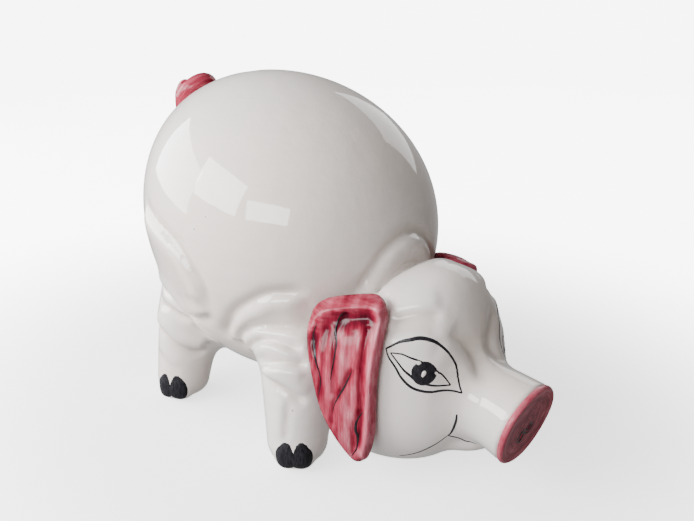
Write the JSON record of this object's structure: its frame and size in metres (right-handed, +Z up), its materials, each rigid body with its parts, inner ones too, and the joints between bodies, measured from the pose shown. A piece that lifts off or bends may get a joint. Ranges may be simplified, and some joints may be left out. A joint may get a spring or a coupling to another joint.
{
  "type": "piggy bank",
  "caption": "Large hand-painted glazed ceramic pig that stands rump high with its snout near the ground, with a coin slot in the back and a rubber stopper in the belly.",
  "frame": {"origin": "on the ground under the middle of the pig's length, in its plane of symmetry", "axes": "+X to the snout, +Y to the pig's left, +Z up from the soles"},
  "size_m": [0.3988, 0.237, 0.2824],
  "materials": {
    "white_glaze": "gloss",
    "rose_glaze": "gloss",
    "black_paint": "gloss",
    "stopper_rubber": "matte"
  },
  "bodies": {
    "pig": {"torso_casting": "white_glaze", "head_casting": "white_glaze", "snout_disc": "rose_glaze", "leg_front_right": "white_glaze", "leg_front_left": "white_glaze", "leg_hind_right": "white_glaze", "leg_hind_left": "white_glaze", "ear_right": "rose_glaze", "ear_left": "rose_glaze", "tail_coil": "rose_glaze"},
    "stopper": {"belly_stopper": "stopper_rubber"}
  },
  "joints": [
    {"name": "stopper_pull", "type": "slide", "parent": "pig", "child": "stopper", "axis": [0, 0, -1], "range_m": [0, 0.02]}
  ]
}
